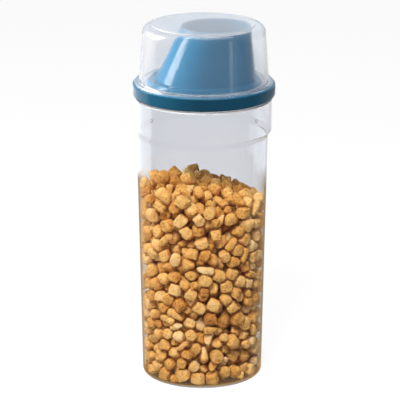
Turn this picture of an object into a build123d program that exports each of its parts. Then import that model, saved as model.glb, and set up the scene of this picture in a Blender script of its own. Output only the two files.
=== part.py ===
from build123d import *
import os
import numpy as np
from scipy.spatial import HalfspaceIntersection, cKDTree

# Treat container: clear tapered jar, blue pouring lid, clear measuring cup and a heap of kibble.
# Millimetres, +Z up. The origin is on the neck's axis, on the surface that the jar stands on.

# Jar, lower body. Its axis stands a little to the left of the neck's.
BODY_X = -1.4
BODY_BASE_R = 49.1
BODY_TOP_R = 53.2
BODY_TOP_Z = 202.5
BODY_WALL = 1.1
FLOOR_Z = 1.5
FOOT_R = 41.0
FOOT_LIFT = 0.5
BASE_EDGE_R = 2.5
INSIDE_EDGE_R = 1.6
INSIDE_CORNER_CUT = 0.9

# Jar, wide band with the mouth
BAND_R = 54.65
BAND_Z = 207.0
BAND_WALL = 2.0
RIM_Z = 242.6
RIM_ROUND = 0.8
BEAD_Z = 233.0
BEAD_R = 0.8
LUG_R = 1.8
LUG_PROUD = 0.7
LUG_Z = 221.5
LUG_ANGLE = 51.5

# Lid: ring, deck, platform and plug wall
RING_R = 57.5
RING_BOTTOM_Z = 234.7
RING_ROUND = 2.2
RING_TOP_ROUND = 0.9
SKIRT_INNER_R = 55.0
DECK_TOP_Z = 245.2
DECK_UNDER_Z = 243.3
PLATFORM_R, PLATFORM_FOOT_R = 44.4, 46.6
PLATFORM_TOP_Z = 248.9
PLATFORM_ROUND = 0.6
PLATFORM_WALL = 2.2
PLATFORM_INNER_R = 43.6
PLUG_R = 51.4
PLUG_INNER_R = 48.6
PLUG_BOTTOM_Z = 234.9

# Pouring spout: a cone that leans to the right
SPOUT_BASE_X, SPOUT_BASE_R = 1.55, 40.35
SPOUT_MOUTH_X, SPOUT_MOUTH_R = 9.7, 28.0
SPOUT_MOUTH_Z = 290.0
SPOUT_WALL = 1.9
SPOUT_FOOT_ROUND = 1.4
SPOUT_LIP_ROUND = 0.5

# Seals
LID_SEAL_INNER_R, LID_SEAL_R, LID_SEAL_FIN_R = 50.45, 51.6, 52.4
LID_SEAL_Z = (236.7, 240.4)
LID_GROOVE_R = 50.2
LID_GROOVE_Z = (236.4, 240.7)
CUP_SEAL_INNER_R, CUP_SEAL_R = 46.1, 50.3
CUP_SEAL_Z = (245.4, 246.1)
CUP_GROOVE_R = 45.9
CUP_GROOVE_TOP_Z = 246.3

# Measuring cup, upside down over the spout
CUP_BOTTOM_Z = 245.4
CUP_TOP_Z = 292.9
CUP_WALL = 1.7
CUP_TOP_WALL = 1.4
CUP_FOOT_R = 52.3
CUP_SHOULDER_R = 49.95
CUP_TOP_ROUND = 7.1
CUP_DISC_R = 41.5
CUP_DISC = 0.6
CUP_DISC_ROUND = 0.2
BRIM_R = 56.0
BRIM_THICK = 1.5
BRIM_ROUND = 0.9
BRIM_FILLET = 1.0

# Kibble: half sizes of each shape and its number of sides
SHAPES = {
    "barrel": ((5.2, 5.2, 4.8), 8),
    "pillow": ((4.9, 4.5, 4.3), 4),
    "oval": ((5.8, 4.5, 4.1), 6),
    "disc": ((5.4, 5.4, 3.4), 6),
    "rod": ((3.4, 3.2, 7.4), 6),
    "crumb": ((3.5, 3.1, 3.3), 5),
}
SHARES = {"barrel": 0.31, "pillow": 0.22, "oval": 0.19, "disc": 0.07, "rod": 0.13, "crumb": 0.08}
SMALLEST, LARGEST = 0.87, 1.1
FILL_SHARE = 0.575
FILL_MEAN_R, FILL_MEAN_HEIGHT = 49.5, 160.0
ROOM = 1.12
WALL_PRESS = 0.9
WALL_GAP = 0.15
PIECE_GAP = 0.16
FLOOR_GAP = 0.1
SETTLE_STEPS = 240
SINK = 0.03
SPREAD = 1.4
HEAP_X = (-52.0, -38.0, -20.0, -11.0, 2.0, 20.0, 36.0, 50.0)
HEAP_Z = (174.0, 176.0, 173.0, 175.5, 165.0, 163.5, 160.5, 154.5)
HEAP_FALL = 10.0
HEAP_LUMP = 2.5
HEAP_LUMP_X, HEAP_LUMP_Y = 6.1, 6.7
HEAP_LUMP_START = (0.7, 1.3)
TOP_COVER = 0.6
LEAST_EDGE = 0.05
CLEAN_TRIES = 16
FAR_AWAY = 1e9

SEAL_FIN_SLOPE = 0.6
NEARLY_HALF = 0.42
FROM_BASE = (Align.CENTER, Align.CENTER, Align.MIN)

rng = np.random.default_rng(2)
body_taper = (BODY_TOP_R - BODY_BASE_R) / BODY_TOP_Z


def ring_profile(points):
    """The face in the XZ plane with these (radius, height) corners."""
    return make_face(Plane.XZ * Polyline(*points, close=True))


def turned(profile):
    return revolve(profile, Axis.Z)


def disc_at(x, z, radius):
    return Pos(x, 0, z) * Circle(radius).face()


def slanted(low, high):
    """A straight-sided solid from one circle to another, each given as (x, z, radius)."""
    return loft([disc_at(*low), disc_at(*high)], ruled=True)


def circle_edges(solid, z, radius):
    """The round edges of the solid that lie at this height with this radius."""
    found = solid.edges().filter_by(GeomType.CIRCLE)
    return [e for e in found if abs(e.center().Z - z) < 1e-3 and abs(e.radius - radius) < 1e-3]


def edges_at(solid, z):
    return [e for e in solid.edges() if abs(e.center().Z - z) < 1e-3]


def make_jar():
    body = turned(
        ring_profile(
            [
                (0, FOOT_LIFT),
                (FOOT_R - FOOT_LIFT, FOOT_LIFT),
                (FOOT_R, 0),
                (BODY_BASE_R, 0),
                (BODY_TOP_R, BODY_TOP_Z),
                (0, BODY_TOP_Z),
            ]
        )
    )
    body = fillet(circle_edges(body, 0, BODY_BASE_R), BASE_EDGE_R)
    body = Pos(BODY_X, 0, 0) * body
    shoulder = slanted((BODY_X, BODY_TOP_Z, BODY_TOP_R), (0, BAND_Z, BAND_R))
    band = Pos(0, 0, BAND_Z) * Cylinder(BAND_R, RIM_Z - BAND_Z, align=FROM_BASE)
    bead = Pos(0, 0, BEAD_Z) * Torus(BAND_R, BEAD_R)
    outside = body + shoulder + band + bead

    inside_r = BODY_BASE_R - BODY_WALL
    hollow = turned(
        ring_profile(
            [
                (0, FLOOR_Z),
                (inside_r + body_taper * FLOOR_Z, FLOOR_Z),
                (BODY_TOP_R - BODY_WALL, BODY_TOP_Z),
                (0, BODY_TOP_Z),
            ]
        )
    )
    hollow = fillet(circle_edges(hollow, FLOOR_Z, inside_r + body_taper * FLOOR_Z), INSIDE_EDGE_R)
    hollow = Pos(BODY_X, 0, 0) * hollow
    throat = slanted((BODY_X, BODY_TOP_Z, BODY_TOP_R - BODY_WALL), (0, BAND_Z, BAND_R - BAND_WALL))
    mouth = Pos(0, 0, BAND_Z) * Cylinder(BAND_R - BAND_WALL, RIM_Z - BAND_Z + 1, align=FROM_BASE)
    jar = outside - (hollow + throat + mouth)
    rim = circle_edges(jar, RIM_Z, BAND_R) + circle_edges(jar, RIM_Z, BAND_R - BAND_WALL)
    return fillet(rim, RIM_ROUND) + make_lugs()


def make_lugs():
    """Four small lugs inside the band, which keep nested jars from jamming."""
    depth = BAND_WALL / 2 + LUG_PROUD
    lugs = []
    for angle in (LUG_ANGLE, -LUG_ANGLE, 180 - LUG_ANGLE, LUG_ANGLE - 180):
        lug = Cone(LUG_R, LUG_R - LUG_PROUD, depth, align=FROM_BASE)
        place = Rot(0, 0, angle - 90) * Pos(BAND_R - BAND_WALL / 2, 0, LUG_Z) * Rot(0, -90, 0)
        lugs.append(place * lug)
    return lugs


def spout_at(z, inset=0.0):
    """Where the spout's wall is at this height, as (x, z, radius)."""
    share = (z - PLATFORM_TOP_Z) / (SPOUT_MOUTH_Z - PLATFORM_TOP_Z)
    x = SPOUT_BASE_X + share * (SPOUT_MOUTH_X - SPOUT_BASE_X)
    radius = SPOUT_BASE_R + share * (SPOUT_MOUTH_R - SPOUT_BASE_R)
    return (x, z, radius - inset)


def make_lid():
    shell = turned(
        ring_profile(
            [
                (0, PLATFORM_TOP_Z - PLATFORM_WALL),
                (PLATFORM_INNER_R, PLATFORM_TOP_Z - PLATFORM_WALL),
                (PLATFORM_INNER_R, DECK_UNDER_Z),
                (PLUG_INNER_R, DECK_UNDER_Z),
                (PLUG_INNER_R, PLUG_BOTTOM_Z),
                (PLUG_R, PLUG_BOTTOM_Z),
                (PLUG_R, LID_GROOVE_Z[0]),
                (LID_GROOVE_R, LID_GROOVE_Z[0]),
                (LID_GROOVE_R, LID_GROOVE_Z[1]),
                (PLUG_R, LID_GROOVE_Z[1]),
                (PLUG_R, DECK_UNDER_Z),
                (SKIRT_INNER_R, DECK_UNDER_Z),
                (SKIRT_INNER_R, RING_BOTTOM_Z),
                (RING_R, RING_BOTTOM_Z),
                (RING_R, DECK_TOP_Z),
                (CUP_GROOVE_R, DECK_TOP_Z),
                (CUP_GROOVE_R, CUP_GROOVE_TOP_Z),
                (PLATFORM_FOOT_R, CUP_GROOVE_TOP_Z),
                (PLATFORM_R, PLATFORM_TOP_Z),
                (0, PLATFORM_TOP_Z),
            ]
        )
    )
    shell = fillet(circle_edges(shell, RING_BOTTOM_Z, RING_R), RING_ROUND)
    shell = fillet(circle_edges(shell, DECK_TOP_Z, RING_R), RING_TOP_ROUND)
    shell = fillet(circle_edges(shell, PLATFORM_TOP_Z, PLATFORM_R), PLATFORM_ROUND)
    spout = slanted(spout_at(PLATFORM_TOP_Z - 1), spout_at(SPOUT_MOUTH_Z))
    lid = shell + spout
    foot = [e for e in edges_at(lid, PLATFORM_TOP_Z) if e.length < 2 * np.pi * SPOUT_BASE_R + 1]
    lid = fillet(foot, SPOUT_FOOT_ROUND)
    bore = slanted(spout_at(DECK_UNDER_Z - 1, SPOUT_WALL), spout_at(SPOUT_MOUTH_Z + 1, SPOUT_WALL))
    lid = lid - bore
    return fillet(edges_at(lid, SPOUT_MOUTH_Z), SPOUT_LIP_ROUND)


def make_lid_seal():
    """Ring gasket round the plug wall, with two fins that touch the jar's mouth."""
    low, high = LID_SEAL_Z
    step = (high - low) / 5
    points = [(LID_SEAL_INNER_R, low), (LID_SEAL_R, low)]
    for fin in (1, 3):
        base = low + step * fin
        points += [(LID_SEAL_R, base), (LID_SEAL_FIN_R, base + SEAL_FIN_SLOPE * step)]
        points += [(LID_SEAL_FIN_R, base + step), (LID_SEAL_R, base + 2 * SEAL_FIN_SLOPE * step)]
    points += [(LID_SEAL_R, high), (LID_SEAL_INNER_R, high)]
    return turned(ring_profile(points))


def make_cup_seal():
    """Soft ring round the platform, which the cup's rim grips."""
    low, high = CUP_SEAL_Z
    seal = turned(
        ring_profile(
            [(CUP_SEAL_INNER_R, low), (CUP_SEAL_R, low), (CUP_SEAL_R, high), (CUP_SEAL_INNER_R, high)]
        )
    )
    edges = circle_edges(seal, low, CUP_SEAL_R) + circle_edges(seal, high, CUP_SEAL_R)
    return fillet(edges, (high - low) * NEARLY_HALF)


def make_cup():
    slope = (CUP_FOOT_R - CUP_SHOULDER_R) / (CUP_TOP_Z - CUP_TOP_ROUND - CUP_BOTTOM_Z - BRIM_THICK)
    top_r = CUP_SHOULDER_R - slope * CUP_TOP_ROUND
    brim_top = CUP_BOTTOM_Z + BRIM_THICK
    outside = turned(
        ring_profile(
            [
                (0, CUP_BOTTOM_Z),
                (BRIM_R, CUP_BOTTOM_Z),
                (BRIM_R, brim_top),
                (CUP_FOOT_R, brim_top),
                (top_r, CUP_TOP_Z),
                (0, CUP_TOP_Z),
            ]
        )
    )
    outside = fillet(circle_edges(outside, CUP_TOP_Z, top_r), CUP_TOP_ROUND)
    outside = fillet(circle_edges(outside, brim_top, CUP_FOOT_R), BRIM_FILLET)
    outside = fillet(circle_edges(outside, brim_top, BRIM_R), BRIM_ROUND)
    disc_top = CUP_TOP_Z + CUP_DISC
    disc = Pos(0, 0, CUP_TOP_Z - 1) * Cylinder(CUP_DISC_R, CUP_DISC + 1, align=FROM_BASE)
    disc = fillet(circle_edges(disc, disc_top, CUP_DISC_R), CUP_DISC_ROUND)
    inside_top = CUP_TOP_Z - CUP_TOP_WALL
    below = CUP_BOTTOM_Z - 1
    low_r = CUP_FOOT_R - CUP_WALL
    high_r = low_r - slope * (inside_top - CUP_BOTTOM_Z)
    inside = turned(ring_profile([(0, below), (low_r, below), (high_r, inside_top), (0, inside_top)]))
    inside = fillet(circle_edges(inside, inside_top, high_r), CUP_TOP_ROUND - CUP_WALL)
    return outside + disc - inside


def jar_inner_r(z):
    """The inside radius of the jar's lower body, about its own axis."""
    return BODY_BASE_R - BODY_WALL + body_taper * z


def heap_top(x, y):
    """The height of the heap: a mound left of the middle that slopes down to the right."""
    run = np.interp(x, HEAP_X, HEAP_Z)
    across = np.sin(x / HEAP_LUMP_X + HEAP_LUMP_START[0])
    lumps = HEAP_LUMP * across * np.cos(y / HEAP_LUMP_Y + HEAP_LUMP_START[1])
    return run - HEAP_FALL * (y / FILL_MEAN_R) ** 2 + lumps


def draw_pieces():
    """A list of (shape, half sizes, room radius), enough to fill the jar up to the heap's top."""
    names, shares = list(SHARES), list(SHARES.values())
    goal = FILL_SHARE * np.pi * FILL_MEAN_R**2 * FILL_MEAN_HEIGHT
    pieces, filled = [], 0.0
    while filled < goal:
        name = names[int(rng.choice(len(names), p=shares))]
        half = rng.uniform(SMALLEST, LARGEST) * np.array(SHAPES[name][0])
        if name == "rod":
            room = ROOM * (half[0] + half[1]) / 2
            filled += np.pi * room**2 * 2 * (half[2] - room) + 4 / 3 * np.pi * room**3
        else:
            room = ROOM * (half[0] * half[1] * half[2]) ** (1 / 3)
            filled += 4 / 3 * np.pi * room**3
        pieces.append((name, half, room))
    return pieces


def inside_heap(spot, room):
    in_jar = np.hypot(spot[0] - BODY_X, spot[1]) <= jar_inner_r(spot[2]) - room
    return in_jar and spot[2] <= heap_top(spot[0], spot[1]) - room


def random_spot(room):
    """A point where a ball of this radius fits in the jar and under the heap's top."""
    spot = np.full(3, FAR_AWAY)
    while not inside_heap(spot, room):
        spot = rng.uniform((-BAND_R, -BAND_R, FLOOR_Z + room), (BAND_R, BAND_R, max(HEAP_Z)))
    return spot


def start_balls(pieces):
    """One ball for each piece, or two for a rod, spread at random through the heap."""
    owner, radius, place, rods = [], [], [], []
    for index, (name, half, room) in enumerate(pieces):
        spot = random_spot(room)
        place.append(spot)
        owner.append(index)
        radius.append(room)
        if name == "rod":
            step = rng.normal(size=3)
            length = 2 * (half[2] - room)
            rods.append((len(place) - 1, len(place), length))
            place.append(spot + length * step / np.linalg.norm(step))
            owner.append(index)
            radius.append(room)
    return np.array(owner), np.array(radius), np.array(place), rods


def push_apart(place, owner, radius):
    """Moves each ball out of the balls that it overlaps, by the mean of what they ask."""
    pairs = cKDTree(place).query_pairs(2 * radius.max(), output_type="ndarray")
    pairs = pairs[owner[pairs[:, 0]] != owner[pairs[:, 1]]]
    a, b = pairs[:, 0], pairs[:, 1]
    apart = place[b] - place[a]
    distance = np.sqrt((apart**2).sum(1)) + 1e-9
    overlap = np.maximum(radius[a] + radius[b] - distance, 0)
    push = apart / distance[:, None] * (overlap / 2)[:, None]
    move, hits = np.zeros_like(place), np.zeros(len(place))
    np.add.at(move, a, -push)
    np.add.at(move, b, push)
    np.add.at(hits, a, overlap > 0)
    np.add.at(hits, b, overlap > 0)
    return place + SPREAD * move / np.maximum(hits, 1)[:, None]


def keep_in_jar(place, radius):
    off = place[:, :2] - [BODY_X, 0]
    far = np.sqrt((off**2).sum(1)) + 1e-9
    limit = jar_inner_r(place[:, 2]) - radius * WALL_PRESS
    place[:, :2] = [BODY_X, 0] + off * np.minimum(1, limit / far)[:, None]
    top = heap_top(place[:, 0], place[:, 1]) - radius * TOP_COVER
    place[:, 2] = np.clip(place[:, 2], FLOOR_Z + FLOOR_GAP + radius, top)
    return place


def settle(owner, radius, place, rods):
    """Shakes the balls down. Rounding each step keeps the result the same on every machine."""
    first, second = [r[0] for r in rods], [r[1] for r in rods]
    length = np.array([r[2] for r in rods])
    for _ in range(SETTLE_STEPS):
        place[:, 2] -= SINK
        place = push_apart(place, owner, radius)
        along = place[second] - place[first]
        far = np.sqrt((along**2).sum(1)) + 1e-9
        fix = along / far[:, None] * ((far - length) / 2)[:, None]
        place[first] += fix
        place[second] -= fix
        place = np.round(keep_in_jar(place, radius), 4)
    return place


def random_axes(axis):
    """Three unit vectors at right angles, as columns. The last is the piece's own long axis."""
    side = rng.normal(size=3)
    side -= side @ axis * axis
    side /= np.linalg.norm(side)
    return np.stack([side, np.cross(axis, side), axis], 1)


def prism_planes(half, sides):
    """Outward normals and distances of an oval prism about the origin, long along Z."""
    turn = (np.arange(sides) + 0.5) * 2 * np.pi / sides
    normal = np.stack([np.cos(turn) / half[0], np.sin(turn) / half[1], 0 * turn], 1)
    size = np.linalg.norm(normal, axis=1)
    reach = 1 / size
    normals = np.vstack([normal / size[:, None], [[0, 0, 1], [0, 0, -1]]])
    return normals, np.concatenate([reach, [half[2], half[2]]])


def first_planes(pieces, owner, place):
    """For each piece, its centre and its own prism's planes in place."""
    out = []
    for index, (name, half, _) in enumerate(pieces):
        balls = place[owner == index]
        axis = balls[1] - balls[0] if name == "rod" else rng.normal(size=3)
        axes = random_axes(axis / np.linalg.norm(axis))
        centre = balls.mean(0)
        normals, reach = prism_planes(half, SHAPES[name][1])
        normals = normals @ axes.T
        out.append((centre, list(normals), list(reach + normals @ centre)))
    return out


def share_space(planes, owner, radius, place):
    """Puts one plane between each two close pieces, where both keep clear of it."""
    pairs = cKDTree(place).query_pairs(3 * radius.max(), output_type="ndarray")
    pairs = pairs[owner[pairs[:, 0]] != owner[pairs[:, 1]]]
    apart = place[pairs[:, 1]] - place[pairs[:, 0]]
    space = np.sqrt((apart**2).sum(1)) - radius[pairs[:, 0]] - radius[pairs[:, 1]]
    nearest = {}
    for (a, b), gap in zip(pairs, space):
        key = (owner[a], owner[b])
        if gap < nearest.get(key, (FAR_AWAY,))[0]:
            nearest[key] = (gap, a, b)
    for (one, other), (gap, a, b) in nearest.items():
        normal = (place[b] - place[a]) / np.linalg.norm(place[b] - place[a])
        middle = normal @ place[a] + radius[a] + gap / 2
        planes[one][1].append(normal)
        planes[one][2].append(middle - PIECE_GAP / 2)
        planes[other][1].append(-normal)
        planes[other][2].append(-middle - PIECE_GAP / 2)


def keep_off_jar(planes):
    """Cuts each piece flat where it would reach the jar's floor, its inside corner or its wall."""
    corner_r = jar_inner_r(FLOOR_Z) - WALL_GAP - INSIDE_CORNER_CUT
    for centre, normals, reach in planes:
        out = np.array([centre[0] - BODY_X, centre[1], 0])
        out /= np.linalg.norm(out)
        normal = out - [0, 0, body_taper]
        normal /= np.linalg.norm(normal)
        wall = np.array([BODY_X, 0, centre[2]]) + out * (jar_inner_r(centre[2]) - WALL_GAP)
        corner = (out - [0, 0, 1]) * np.sqrt(0.5)
        edge = np.array([BODY_X, 0, FLOOR_Z]) + out * corner_r
        normals += [np.array([0, 0, -1.0]), corner, normal]
        reach += [-(FLOOR_Z + FLOOR_GAP), corner @ edge, normal @ wall]


def corners_of(centre, normals, reach):
    """The polyhedron's corners, and for each plane the ones on it, in order round the face."""
    normals, reach = np.array(normals), np.array(reach)
    found = HalfspaceIntersection(np.hstack([normals, -reach[:, None]]), centre).intersections
    corners = []
    for spot in found:
        if all(np.abs(spot - other).max() > 1e-6 for other in corners):
            corners.append(spot)
    corners = np.array(corners)
    faces = []
    for index, (normal, far) in enumerate(zip(normals, reach)):
        on = np.where(np.abs(corners @ normal - far) < 1e-6)[0]
        if len(on) < 3:
            continue
        off = corners[on] - corners[on].mean(0)
        side = off[0] / np.linalg.norm(off[0])
        turn = np.arctan2(off @ np.cross(normal, side), off @ side)
        faces.append((index, on[np.argsort(turn)]))
    return corners, faces


def least_edge(corners, loop):
    return np.linalg.norm(corners[loop] - corners[np.roll(loop, 1)], axis=1).min()


def past_wall(corners):
    """How far the polyhedron's corners reach past their limit inside the round wall."""
    far = np.hypot(corners[:, 0] - BODY_X, corners[:, 1])
    return (far - jar_inner_r(corners[:, 2])).max() + WALL_GAP


def clean_polyhedron(centre, normals, reach):
    """Pulls in the last plane, off the jar's round wall, and any that leaves too short an edge."""
    reach = list(reach)
    for _ in range(CLEAN_TRIES):
        corners, faces = corners_of(centre, normals, reach)
        short = [index for index, loop in faces if least_edge(corners, loop) < LEAST_EDGE]
        over = past_wall(corners)
        if not short and over <= 0:
            break
        if over > 0:
            reach[-1] -= over + LEAST_EDGE
        else:
            reach[short[-1]] -= 2 * LEAST_EDGE
    return corners, faces


def polyhedron_solid(corners, faces):
    sides = [Face(Wire.make_polygon([Vector(*corners[k]) for k in loop])) for _, loop in faces]
    return Solid(Shell(sides))


def make_kibble():
    """One group of separate solids for each shape of kibble."""
    pieces = draw_pieces()
    owner, radius, place, rods = start_balls(pieces)
    place = settle(owner, radius, place, rods)
    planes = first_planes(pieces, owner, place)
    share_space(planes, owner, radius, place)
    keep_off_jar(planes)
    groups = {name: [] for name in SHAPES}
    for (name, _, _), piece_planes in zip(pieces, planes):
        groups[name].append(polyhedron_solid(*clean_polyhedron(*piece_planes)))
    return {f"{name}_kibble": Compound(solids) for name, solids in groups.items()}


def main():
    os.makedirs("parts", exist_ok=True)
    nodes = {
        "jar": make_jar(),
        "pour_lid": make_lid(),
        "lid_seal": make_lid_seal(),
        "cup_seal": make_cup_seal(),
        "measuring_cup": make_cup(),
    }
    nodes.update(make_kibble())
    for name, shape in nodes.items():
        export_step(shape, f"parts/{name}.step", write_pcurves=not name.endswith("kibble"))
        print(name, len(shape.solids()), "solids", round(shape.volume), "mm3")


main()
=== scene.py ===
import math

import bpy
import numpy as np
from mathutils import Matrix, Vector


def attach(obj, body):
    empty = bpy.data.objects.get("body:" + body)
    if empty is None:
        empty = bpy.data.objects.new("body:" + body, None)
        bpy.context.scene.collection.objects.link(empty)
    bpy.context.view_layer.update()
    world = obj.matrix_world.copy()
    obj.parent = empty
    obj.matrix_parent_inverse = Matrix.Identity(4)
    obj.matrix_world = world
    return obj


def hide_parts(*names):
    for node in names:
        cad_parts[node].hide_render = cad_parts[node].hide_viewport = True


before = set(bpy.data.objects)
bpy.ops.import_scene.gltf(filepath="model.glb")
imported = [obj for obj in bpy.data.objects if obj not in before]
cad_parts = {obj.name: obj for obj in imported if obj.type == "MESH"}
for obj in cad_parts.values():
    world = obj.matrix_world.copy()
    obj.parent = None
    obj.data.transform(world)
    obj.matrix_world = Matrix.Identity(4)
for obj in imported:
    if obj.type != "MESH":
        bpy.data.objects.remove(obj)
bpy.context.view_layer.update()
scene = bpy.context.scene
rng = np.random.default_rng(11)

# Camera: a long lens in front of the object, tilted down
CAMERA_PLACE = (-0.00314, -1.8, 0.6915)
CAMERA_TILT = 16.86
CAMERA_LENS, CAMERA_SENSOR = 207.2, 36.0
CAMERA_REACH = 20

# Kibble: how crisp each shape's edges are, how uneven its surface is, and the spread of the lumps' tones
CRISPNESS = {"barrel": 9, "pillow": 10, "oval": 5, "disc": 8, "rod": 8, "crumb": 6}
UNEVEN = 0.03
WAVES, WAVE_PITCH = 5, 2.6
TONE_MEAN, TONE_SPREAD = -0.08, 0.10
LEAST_AREA = 1e-10

# Lumps this close to the jar's wall, or to the highest lump within COLUMN_R of them, get the finer mesh
SHOWN_DEPTH = 0.013
COLUMN_R = 0.012
FINE, COARSE = 4, 3

# The jar's inner wall beside the kibble: its axis, its radius at the foot and how that grows with height
JAR_AXIS_X = -0.0014
JAR_INNER_R, JAR_TAPER = 0.0480, 0.02025

# How near the wall a lump has to be to lean on it, and the same for lumps below LOW_Z. A small gap is left.
WALL_REACH, LOW_REACH = 0.0016, 0.0060
LOW_Z = 0.012
WALL_CLEAR = 0.0001

# Clear plastic. Painted highlights: milky bands stand in for highlight lines on the bead under the lid,
# the cup's brim and its disc's edge. Painted shade: the brim is tinted the grey-blue of the deck under it.
JAR_HIGHLIGHT_BANDS = [((0.2319, 0.2342), 0.5)]
CUP_HIGHLIGHT_BANDS = [((0.2450, 0.2461), 0.06), ((0.29295, 0.29335), 0.5)]
CUP_BRIM_PAINTED_SHADE = ((0.2450, 0.2468), (0.50, 0.62, 0.72))
BAND_BLUR = 0.00005

# Blue plastic, painted shade and light: the ring below the deck's top is darker, the platform and spout
# lighter
DECK_Z, DECK_BLUR = 0.2449, 0.0001
SHADED_RING_BLUE = [(0.3, (0.0036, 0.025, 0.045)), (0.7, (0.0042, 0.028, 0.050))]
LIT_TOP_BLUE = [(0.3, (0.0070, 0.062, 0.115)), (0.7, (0.0080, 0.068, 0.125))]

SEAL_COLORS = [(0.3, (0.74, 0.77, 0.80)), (0.7, (0.82, 0.84, 0.87))]

# Baked kibble, from toasted to pale and dusty, how much patches and grit change its tone, how much painted
# shade darkens its pits, the distances from a pit's middle between which that shade falls, and how much
# deeper than grit a pit is
KIBBLE_COLORS = [
    (0.10, (0.34, 0.095, 0.015)),
    (0.42, (0.76, 0.36, 0.074)),
    (0.62, (0.92, 0.54, 0.165)),
    (0.88, (0.98, 0.76, 0.430)),
]
PATCH_SHARE, GRIT_SHARE, PIT_SHADE = 0.5, 0.7, 0.34
PIT_EDGE, PIT_MIDDLE = 0.35, 0.10
PIT_RELIEF = 0.6

# Floor: a wide sheet that glows white to the camera and through clear walls
FLOOR_HALF = 3.0
FLOOR_COLOR = (0.86, 0.86, 0.86)
FLOOR_GLOW = 0.9
WHITE = (1, 1, 1)

# What shiny surfaces see of the floor. It is dark in front. Behind are cards to each side, in these colours
# by their distance from the middle in units of CARD_REACH. They fade in where Y over that distance crosses
# CARD_BACK.
FRONT_ROOM = (0.06, 0.07, 0.085)
CARD_REACH = 2.0
CARD_BACK = (0.1, 0.22)
NEAR = (0.30, 0.21, 0.125)
LEFT_GLOW, RIGHT_GLOW = 1.6, 1.2
LEFT_CARDS = [
    (0.285, NEAR),
    (0.305, (0.97, 0.985, 1.0)),
    (0.50, (0.97, 0.985, 1.0)),
    (0.53, (0.56, 0.575, 0.60)),
]
RIGHT_CARDS = [
    (0.27, NEAR),
    (0.31, (0.62, 0.62, 0.64)),
    (0.475, (0.62, 0.62, 0.64)),
    (0.485, (0.15, 0.17, 0.19)),
    (0.525, (0.15, 0.17, 0.19)),
    (0.55, (0.72, 0.72, 0.72)),
]

# The floor under the jar: painted shadow seen through the jar, and a painted brown reflection for shiny
# surfaces
FOOTPRINT_R, UNDER_JAR_SHADOW = 0.049, (0.15, 0.085, 0.045)
UNDER_R, UNDER_SHINE = 0.06, (0.50, 0.30, 0.12)

# Room: the even light that it gives, and what shiny surfaces see of it from front to back
FILL_COLOR, FILL_LIGHT = (0.93, 0.96, 1.0), 0.2
ROOM = [(0.3, FRONT_ROOM), (0.75, (0.28, 0.31, 0.35)), (0.95, (0.72, 0.8, 0.9))]

# Lamps face this point
LAMP_TARGET = Vector((0, 0, 0.16))


# Nodes


def node_tree(owner):
    owner.use_nodes = True
    return owner.node_tree.nodes, owner.node_tree.links


def new_material(name):
    material = bpy.data.materials.new(name)
    nodes, links = node_tree(material)
    return material, nodes, links, nodes["Principled BSDF"]


def set_values(shader, **values):
    """Sets sockets by their names, with _ for a space. A colour of three numbers is opaque."""
    for name, value in values.items():
        value = (*value, 1) if isinstance(value, tuple) else value
        shader.inputs[name.replace("_", " ")].default_value = value


def feed(links, value, socket):
    """Gives a socket its value: another socket, a number or a colour."""
    if isinstance(value, bpy.types.NodeSocket):
        links.new(value, socket)
    elif isinstance(value, tuple):
        socket.default_value = (*value, 1)
    else:
        socket.default_value = value


def join(nodes, links, operation, first, second):
    """A Math node of two values, each a socket or a number."""
    node = nodes.new("ShaderNodeMath")
    node.operation = operation
    feed(links, first, node.inputs[0])
    feed(links, second, node.inputs[1])
    return node.outputs[0]


def rescale(nodes, links, value, low, high, top=1.0):
    """0 where the value is low, the top where it is high, and even between them."""
    node = nodes.new("ShaderNodeMapRange")
    set_values(node, From_Min=low, From_Max=high, To_Max=top)
    links.new(value, node.inputs["Value"])
    return node.outputs["Result"]


def mix_shaders(nodes, links, share, first, second):
    mix = nodes.new("ShaderNodeMixShader")
    for value, socket in zip((share, first, second), mix.inputs):
        links.new(value, socket)
    return mix.outputs["Shader"]


def mix_colors(nodes, links, share, first, second):
    """A colour between two, each a socket or a colour. Sockets 6, 7 and 2 are the node's colours."""
    mix = nodes.new("ShaderNodeMix")
    mix.data_type = "RGBA"
    links.new(share, mix.inputs["Factor"])
    feed(links, first, mix.inputs[6])
    feed(links, second, mix.inputs[7])
    return mix.outputs[2]


def add_glow(nodes, links, color, strength=1.0, kind="Emission"):
    """A shader that only glows, on a surface or, as a Background, in the world."""
    glow = nodes.new(f"ShaderNode{kind}")
    feed(links, color, glow.inputs["Color"])
    glow.inputs["Strength"].default_value = strength
    return glow.outputs[0]


def object_place(nodes):
    return nodes.new("ShaderNodeTexCoord").outputs["Object"]


def split_place(nodes, links, place):
    split = nodes.new("ShaderNodeSeparateXYZ")
    links.new(place, split.inputs[0])
    return split.outputs


def add_noise(nodes, links, scale, detail=4.0, roughness=0.5):
    noise = nodes.new("ShaderNodeTexNoise")
    set_values(noise, Scale=scale, Detail=detail, Roughness=roughness)
    links.new(object_place(nodes), noise.inputs["Vector"])
    return noise.outputs["Fac"]


def add_ramp(nodes, links, value, stops):
    ramp = nodes.new("ShaderNodeValToRGB")
    while len(ramp.color_ramp.elements) < len(stops):
        ramp.color_ramp.elements.new(0.5)
    for element, (place, color) in zip(ramp.color_ramp.elements, stops):
        element.position = place
        element.color = (*color, 1)
    links.new(value, ramp.inputs["Fac"])
    return ramp.outputs["Color"]


def add_bump(nodes, links, height, shader, strength, distance):
    bump = nodes.new("ShaderNodeBump")
    set_values(bump, Strength=strength, Distance=distance)
    links.new(height, bump.inputs["Height"])
    links.new(bump.outputs["Normal"], shader.inputs["Normal"])


def height_mask(nodes, links, low, high, blur):
    """1 between two heights of the object, and 0 outside them."""
    height = split_place(nodes, links, object_place(nodes))["Z"]
    above = rescale(nodes, links, height, low - blur, low + blur)
    below = rescale(nodes, links, height, high + blur, high - blur)
    return join(nodes, links, "MULTIPLY", above, below)


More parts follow.
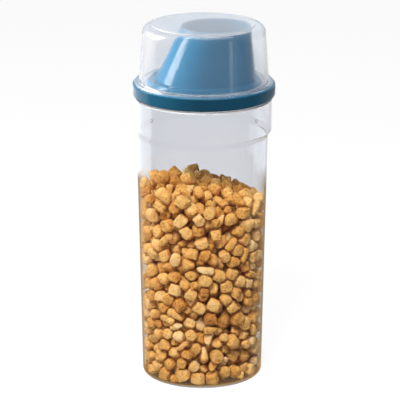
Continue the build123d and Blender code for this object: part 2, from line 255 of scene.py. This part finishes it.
def let_lamps_through(material, nodes, links, shader, shade):
    """Shadow rays cross the clear wall straight, so the lamps light what is inside."""
    clear = nodes.new("ShaderNodeBsdfTransparent")
    clear.inputs["Color"].default_value = (*shade, 1)
    shadow = nodes.new("ShaderNodeLightPath").outputs["Is Shadow Ray"]
    mix = mix_shaders(nodes, links, shadow, shader.outputs["BSDF"], clear.outputs["BSDF"])
    links.new(mix, nodes["Material Output"].inputs["Surface"])


def ray_kinds(nodes, links):
    """1 for rays from the camera, for those that have only gone through clear walls, and for
    those that something shiny has turned. Rays that have left a matt surface are none of them."""
    path = nodes.new("ShaderNodeLightPath")
    camera = path.outputs["Is Camera Ray"]
    through = path.outputs["Is Transmission Ray"]
    shiny = join(nodes, links, "MAXIMUM", path.outputs["Is Glossy Ray"], through)
    matt = join(nodes, links, "GREATER_THAN", path.outputs["Diffuse Depth"], 0.5)
    turned = join(nodes, links, "GREATER_THAN", path.outputs["Glossy Depth"], 0.5)
    direct = join(nodes, links, "SUBTRACT", 1.0, turned)
    clean = join(nodes, links, "SUBTRACT", 1.0, matt)
    straight = join(nodes, links, "MULTIPLY", join(nodes, links, "MULTIPLY", through, direct), clean)
    mirrored = join(nodes, links, "MULTIPLY", join(nodes, links, "MULTIPLY", shiny, turned), clean)
    return camera, straight, mirrored


# Materials


def clear_plastic(name, tint, shade, haze, roughness, highlight_bands, painted_tint=None):
    """Clear moulded plastic, gently rippled. Milky bands are painted highlights; a band may have a painted
    tint.
    """
    material, nodes, links, shader = new_material(name)
    set_values(shader, Base_Color=tint, Roughness=roughness, IOR=1.46, Specular_IOR_Level=0.2)
    # Painted shade: a band of heights gets a darker tint of its own
    if painted_tint:
        heights, color = painted_tint
        band = height_mask(nodes, links, *heights, BAND_BLUR)
        links.new(mix_colors(nodes, links, band, tint, color), shader.inputs["Base Color"])
    clear = 1 - haze
    # Painted highlights: milky white bands at these heights
    for heights, share in highlight_bands:
        band = height_mask(nodes, links, *heights, BAND_BLUR)
        clear = join(nodes, links, "SUBTRACT", clear, join(nodes, links, "MULTIPLY", band, share - haze))
    links.new(clear, shader.inputs["Transmission Weight"])
    ripples = add_noise(nodes, links, scale=38.0, detail=2.0)
    add_bump(nodes, links, ripples, shader, strength=0.02, distance=0.001)
    let_lamps_through(material, nodes, links, shader, shade)
    return material


def blue_plastic():
    material, nodes, links, shader = new_material("blue_lid")
    set_values(shader, Roughness=0.11, IOR=1.49, Specular_IOR_Level=0.25)
    cloud = add_noise(nodes, links, scale=22.0, detail=3.0)
    # Painted shade and light: a darker blue for the ring below the deck, a lighter blue above it
    shaded_blue = add_ramp(nodes, links, cloud, SHADED_RING_BLUE)
    lit_blue = add_ramp(nodes, links, cloud, LIT_TOP_BLUE)
    above = height_mask(nodes, links, DECK_Z, 1.0, DECK_BLUR)
    links.new(mix_colors(nodes, links, above, shaded_blue, lit_blue), shader.inputs["Base Color"])
    grain = add_noise(nodes, links, scale=2600.0, detail=2.0)
    add_bump(nodes, links, grain, shader, strength=0.12, distance=0.0001)
    return material


def soft_seal():
    material, nodes, links, shader = new_material("seal")
    set_values(shader, Roughness=0.4, IOR=1.41, Transmission_Weight=0.8)
    cloud = add_noise(nodes, links, scale=60.0)
    links.new(add_ramp(nodes, links, cloud, SEAL_COLORS), shader.inputs["Base Color"])
    grain = add_noise(nodes, links, scale=1500.0)
    add_bump(nodes, links, grain, shader, strength=0.2, distance=0.0001)
    return material


def baked_kibble():
    """Golden, toasted and dusty in patches, with a fine gritty surface and small pits darkened by painted
    shade.
    """
    material, nodes, links, shader = new_material("kibble")
    set_values(shader, Roughness=0.78, IOR=1.4)
    tone = nodes.new("ShaderNodeAttribute")
    tone.attribute_name = "tone"
    patches = add_noise(nodes, links, scale=150.0, detail=5.0, roughness=0.6)
    grit = add_noise(nodes, links, scale=520.0, detail=5.0, roughness=0.75)
    pits = nodes.new("ShaderNodeTexVoronoi")
    pits.inputs["Scale"].default_value = 430.0
    links.new(object_place(nodes), pits.inputs["Vector"])
    from_pit = pits.outputs["Distance"]
    shade = join(nodes, links, "MULTIPLY", patches, PATCH_SHARE)
    shade = join(nodes, links, "ADD", shade, tone.outputs["Fac"])
    shade = join(nodes, links, "ADD", shade, join(nodes, links, "MULTIPLY", grit, GRIT_SHARE))
    # Painted shade in the pits
    pit_shade = rescale(nodes, links, from_pit, PIT_EDGE, PIT_MIDDLE, top=PIT_SHADE)
    shade = join(nodes, links, "SUBTRACT", shade, pit_shade)
    links.new(add_ramp(nodes, links, shade, KIBBLE_COLORS), shader.inputs["Base Color"])
    rough = join(nodes, links, "ADD", grit, join(nodes, links, "MULTIPLY", from_pit, PIT_RELIEF))
    add_bump(nodes, links, rough, shader, strength=1.0, distance=0.001)
    return material


def dress(material, *nodes):
    """Gives parts of the CAD model their material and smooth shading."""
    for node in nodes:
        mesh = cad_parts[node].data
        mesh.materials.clear()
        mesh.materials.append(material)
        for polygon in mesh.polygons:
            polygon.use_smooth = True


# Kibble


def mesh_arrays(mesh):
    points = np.empty(len(mesh.vertices) * 3, np.float32)
    mesh.vertices.foreach_get("co", points)
    mesh.calc_loop_triangles()
    triangles = np.empty(len(mesh.loop_triangles) * 3, np.int32)
    mesh.loop_triangles.foreach_get("vertices", triangles)
    return points.reshape(-1, 3).astype(float), triangles.reshape(-1, 3)


def convex_parts(mesh):
    """The separate convex pieces of a mesh, each as the corner points of its triangles."""
    points, triangles = mesh_arrays(mesh)
    _, same = np.unique((points * 1e6).round().astype(np.int64), axis=0, return_inverse=True)
    same = same.reshape(-1)
    corners = same[triangles]
    label = np.arange(same.max() + 1)
    while True:
        least = label[corners].min(1)
        new = label.copy()
        for side in range(3):
            np.minimum.at(new, corners[:, side], least)
        new = new[new]
        if (new == label).all():
            break
        label = new
    group = label[corners[:, 0]]
    order = np.argsort(group, kind="stable")
    cuts = np.flatnonzero(np.diff(group[order])) + 1
    return [points[triangles[rows]] for rows in np.split(order, cuts)]


def planes_of(triangles):
    """The piece's centre, and its faces' normals and distances from there. The centre is that of the
    pyramids between a guess and the faces, each with its own three quarters of the way to its face."""
    normals = np.cross(triangles[:, 1] - triangles[:, 0], triangles[:, 2] - triangles[:, 0])
    area = np.linalg.norm(normals, axis=1)
    keep = area > LEAST_AREA
    triangles, normals, area = triangles[keep], normals[keep] / area[keep, None], area[keep]
    middle = triangles.mean(1)
    guess = (middle * area[:, None]).sum(0) / area.sum()
    height = ((middle - guess) * normals).sum(1)
    volume = area * height
    centre = (0.75 * (middle - guess) * volume[:, None]).sum(0) / volume.sum() + guess
    reach = ((middle - centre) * normals).sum(1)
    rows = np.round(np.hstack([normals, reach[:, None] * 1e3]), 3)
    _, first = np.unique(rows, axis=0, return_index=True)
    return centre, normals[first], reach[first]


def ball(detail):
    """Points evenly over a unit ball, and the triangles between them."""
    bpy.ops.mesh.primitive_ico_sphere_add(subdivisions=detail, radius=1.0)
    made = bpy.context.object
    mesh = made.data
    points, triangles = mesh_arrays(mesh)
    bpy.data.objects.remove(made)
    bpy.data.meshes.remove(mesh)
    return points / np.linalg.norm(points, axis=1)[:, None], triangles


def jar_radius(z):
    return JAR_INNER_R + JAR_TAPER * z


def lean_on_wall(points):
    """Slides a lump that is close to the jar's wall out until it touches. The lowest slide further."""
    out = points[:, :2] - (JAR_AXIS_X, 0)
    gap = (jar_radius(points[:, 2]) - np.hypot(out[:, 0], out[:, 1])).min()
    if gap < (LOW_REACH if points[:, 2].mean() < LOW_Z else WALL_REACH):
        middle = out.mean(0)
        points[:, :2] += (gap - WALL_CLEAR) * middle / np.linalg.norm(middle)
    return points


def lump_shape(centre, normals, reach, crispness, directions):
    """A rounded lump that fills its flat-faced piece, and then leans on the wall if that is near."""
    slope = np.maximum(directions @ normals.T, 0) / reach
    radius = (slope**crispness).sum(1) ** (-1.0 / crispness)
    waves = rng.normal(size=(WAVES, 3)) * WAVE_PITCH
    shift = rng.uniform(0, 2 * math.pi, WAVES)
    uneven = np.sin(directions @ waves.T + shift).mean(1)
    radius *= 1 - UNEVEN * (1 + uneven)
    return lean_on_wall(centre + directions * radius[:, None])


def lump_mesh(name, shapes, balls):
    points, triangles, tones, start = [], [], [], 0
    for shape, (_, faces) in zip(shapes, balls):
        points.append(shape)
        triangles.append(faces + start)
        tones.append(np.full(len(shape), rng.normal(TONE_MEAN, TONE_SPREAD)))
        start += len(shape)
    points, triangles = np.concatenate(points), np.concatenate(triangles)
    mesh = bpy.data.meshes.new(name)
    mesh.from_pydata(points.tolist(), [], triangles.tolist())
    mesh.polygons.foreach_set("use_smooth", np.ones(len(triangles), bool))
    tone = mesh.attributes.new("tone", "FLOAT", "POINT")
    tone.data.foreach_set("value", np.concatenate(tones).astype(np.float32))
    return mesh


def is_shown(centre, tops):
    """True near the jar's wall or the top of the heap."""
    wall = jar_radius(centre[2]) - math.hypot(centre[0] - JAR_AXIS_X, centre[1])
    column = np.hypot(tops[:, 0] - centre[0], tops[:, 1] - centre[1]) < COLUMN_R
    return wall < SHOWN_DEPTH or centre[2] > tops[column, 2].max() - SHOWN_DEPTH


def add_kibble():
    """Replaces every flat-faced kibble piece by a rounded lump in the same place."""
    material = baked_kibble()
    fine, coarse = ball(FINE), ball(COARSE)
    found = {}
    for shape in CRISPNESS:
        parts = convex_parts(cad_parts[f"{shape}_kibble"].data)
        found[shape] = [planes_of(part) for part in parts]
    tops = np.array([planes[0] for parts in found.values() for planes in parts])
    for shape, parts in found.items():
        balls = [fine if is_shown(planes[0], tops) else coarse for planes in parts]
        shapes = [lump_shape(*planes, CRISPNESS[shape], kind[0]) for planes, kind in zip(parts, balls)]
        name = f"{shape}_treats"
        lumps = bpy.data.objects.new(name, lump_mesh(name, shapes, balls))
        scene.collection.objects.link(lumps)
        lumps.data.materials.append(material)
        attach(lumps, "jar")
        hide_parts(f"{shape}_kibble")


# Floor and room


def distance_from(nodes, links, place, middle):
    away = nodes.new("ShaderNodeVectorMath")
    away.operation = "DISTANCE"
    away.inputs[1].default_value = middle
    links.new(place, away.inputs[0])
    return away.outputs["Value"]


def reflector_cards(nodes, links):
    """What shiny surfaces see of the floor: pale cards behind to both sides, and dark in front."""
    place = object_place(nodes)
    split = split_place(nodes, links, place)
    far = distance_from(nodes, links, place, (0, 0, 0))
    reach = join(nodes, links, "DIVIDE", far, CARD_REACH)
    left = add_glow(nodes, links, add_ramp(nodes, links, reach, LEFT_CARDS), LEFT_GLOW)
    right = add_glow(nodes, links, add_ramp(nodes, links, reach, RIGHT_CARDS), RIGHT_GLOW)
    on_right = join(nodes, links, "GREATER_THAN", split["X"], 0.0)
    cards = mix_shaders(nodes, links, on_right, left, right)
    behind = rescale(nodes, links, join(nodes, links, "DIVIDE", split["Y"], far), *CARD_BACK)
    cards = mix_shaders(nodes, links, behind, add_glow(nodes, links, FRONT_ROOM), cards)
    # Painted reflection: near the jar, shiny surfaces see a brown glow
    beyond = join(nodes, links, "GREATER_THAN", far, UNDER_R)
    return mix_shaders(nodes, links, beyond, add_glow(nodes, links, UNDER_SHINE), cards)


def footprint(nodes, links):
    """1 on the floor under the jar, and 0 around it."""
    away = distance_from(nodes, links, object_place(nodes), (JAR_AXIS_X, 0, 0))
    return join(nodes, links, "LESS_THAN", away, FOOTPRINT_R)


def add_floor():
    corners = [(-1, -1), (1, -1), (1, 1), (-1, 1)]
    mesh = bpy.data.meshes.new("floor")
    mesh.from_pydata([(x * FLOOR_HALF, y * FLOOR_HALF, 0) for x, y in corners], [], [(0, 1, 2, 3)])
    floor = bpy.data.objects.new("floor", mesh)
    scene.collection.objects.link(floor)
    material, nodes, links, shader = new_material("floor")
    set_values(shader, Base_Color=FLOOR_COLOR, Roughness=0.9, Specular_IOR_Level=0.0)
    camera, straight, mirrored = ray_kinds(nodes, links)
    seen = join(nodes, links, "MAXIMUM", camera, straight)
    share = join(nodes, links, "MULTIPLY", seen, FLOOR_GLOW)
    mix = mix_shaders(nodes, links, share, shader.outputs["BSDF"], add_glow(nodes, links, WHITE))
    # Painted shadow: seen through the jar, the floor under it glows dark brown
    shadow_share = join(nodes, links, "MULTIPLY", straight, footprint(nodes, links))
    mix = mix_shaders(nodes, links, shadow_share, mix, add_glow(nodes, links, UNDER_JAR_SHADOW))
    mix = mix_shaders(nodes, links, mirrored, mix, reflector_cards(nodes, links))
    links.new(mix, nodes["Material Output"].inputs["Surface"])
    material.cycles.emission_sampling = "NONE"
    mesh.materials.append(material)


def set_world():
    """White to the camera and through clear walls. Reflections see a studio that is darker in front."""
    world = bpy.data.worlds.new("studio")
    scene.world = world
    nodes, links = node_tree(world)
    fill = nodes["Background"]
    set_values(fill, Color=FILL_COLOR, Strength=FILL_LIGHT)
    white = add_glow(nodes, links, WHITE, kind="Background")
    direction = nodes.new("ShaderNodeTexCoord").outputs["Generated"]
    depth = rescale(nodes, links, split_place(nodes, links, direction)["Y"], -1, 1)
    room = add_glow(nodes, links, add_ramp(nodes, links, depth, ROOM), kind="Background")
    camera, straight, mirrored = ray_kinds(nodes, links)
    shown = mix_shaders(nodes, links, mirrored, fill.outputs["Background"], room)
    seen = join(nodes, links, "MAXIMUM", camera, straight)
    shown = mix_shaders(nodes, links, seen, shown, white)
    links.new(shown, nodes["World Output"].inputs["Surface"])
    world.cycles.sampling_method = "NONE"


# Lamps and camera


def add_softbox(name, place, size, power, glossy=True, through=False, color=WHITE, only=()):
    """A soft lamp that faces the object. It may show in what is glossy or through what is clear, and
    light only some parts."""
    data = bpy.data.lights.new(name, "AREA")
    data.color = color
    data.shape = "RECTANGLE"
    data.size, data.size_y = size
    data.energy = power
    lamp = bpy.data.objects.new(name, data)
    scene.collection.objects.link(lamp)
    lamp.location = place
    lamp.rotation_euler = (LAMP_TARGET - Vector(place)).to_track_quat("-Z", "Y").to_euler()
    lamp.visible_camera = False
    lamp.visible_glossy = glossy
    lamp.visible_transmission = through
    if only:
        group = bpy.data.collections.new(f"lit_by_{name}")
        for node in only:
            group.objects.link(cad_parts[node])
        lamp.light_linking.receiver_collection = group
    return lamp


def show_as_reflection(lamp):
    """Clear walls show this lamp only where something behind them mirrors it."""
    nodes, links = node_tree(lamp.data)
    path = nodes.new("ShaderNodeLightPath")
    unturned = join(nodes, links, "LESS_THAN", path.outputs["Glossy Depth"], 0.5)
    hidden = join(nodes, links, "MULTIPLY", path.outputs["Is Transmission Ray"], unturned)
    links.new(join(nodes, links, "SUBTRACT", 1.0, hidden), nodes["Emission"].inputs["Strength"])


def add_lights():
    add_softbox("left_wall", (-1.05, 0.3, 0.62), (0.6, 0.45), 5.0)
    add_softbox("left_fill", (-1.1, 0.1, 0.8), (0.7, 0.7), 1.5, glossy=False)
    add_softbox("key", (-0.28, -1.05, 1.45), (0.45, 0.45), 39.0, glossy=False)
    add_softbox("top", (0.1, 0.1, 1.6), (1.0, 1.0), 12.0)
    add_softbox("right_strip", (0.85, -0.75, 0.5), (0.14, 0.9), 0.8)
    strip = add_softbox(
        "spout_strip",
        (-1.0, 0.2, 0.6),
        (0.42, 0.9),
        30.0,
        glossy=False,
        through=True,
        color=(1, 0.88, 0.76),
        only=("pour_lid", "measuring_cup"),
    )
    show_as_reflection(strip)
    add_softbox("lid_left", (-0.95, -0.05, 0.35), (0.5, 0.5), 26.0, glossy=False, only=("pour_lid",))
    add_softbox("lid_right", (0.9, -0.2, 0.4), (0.5, 0.5), 7.0, glossy=False, only=("pour_lid",))


def add_camera():
    data = bpy.data.cameras.new("camera")
    data.lens = CAMERA_LENS
    data.sensor_width = CAMERA_SENSOR
    data.clip_end = CAMERA_REACH
    camera = bpy.data.objects.new("camera", data)
    scene.collection.objects.link(camera)
    camera.location = CAMERA_PLACE
    camera.rotation_euler = (math.radians(90 - CAMERA_TILT), 0, 0)
    scene.camera = camera


def set_look():
    scene.view_settings.view_transform = "Standard"
    scene.cycles.max_bounces = 24
    scene.cycles.glossy_bounces = 12
    scene.cycles.transmission_bounces = 20
    scene.cycles.transparent_max_bounces = 24


clear_jar = clear_plastic(
    "clear_jar",
    tint=(0.85, 0.862, 0.89),
    shade=(0.95, 0.95, 0.96),
    haze=0.0,
    roughness=0.02,
    highlight_bands=JAR_HIGHLIGHT_BANDS,
)
clear_cup = clear_plastic(
    "clear_cup",
    tint=(0.845, 0.86, 0.89),
    shade=(0.93, 0.94, 0.95),
    haze=0.02,
    roughness=0.1,
    highlight_bands=CUP_HIGHLIGHT_BANDS,
    painted_tint=CUP_BRIM_PAINTED_SHADE,
)
dress(clear_jar, "jar")
dress(clear_cup, "measuring_cup")
dress(blue_plastic(), "pour_lid")
dress(soft_seal(), "lid_seal", "cup_seal")
add_kibble()
add_floor()
set_world()
add_lights()
add_camera()
set_look()
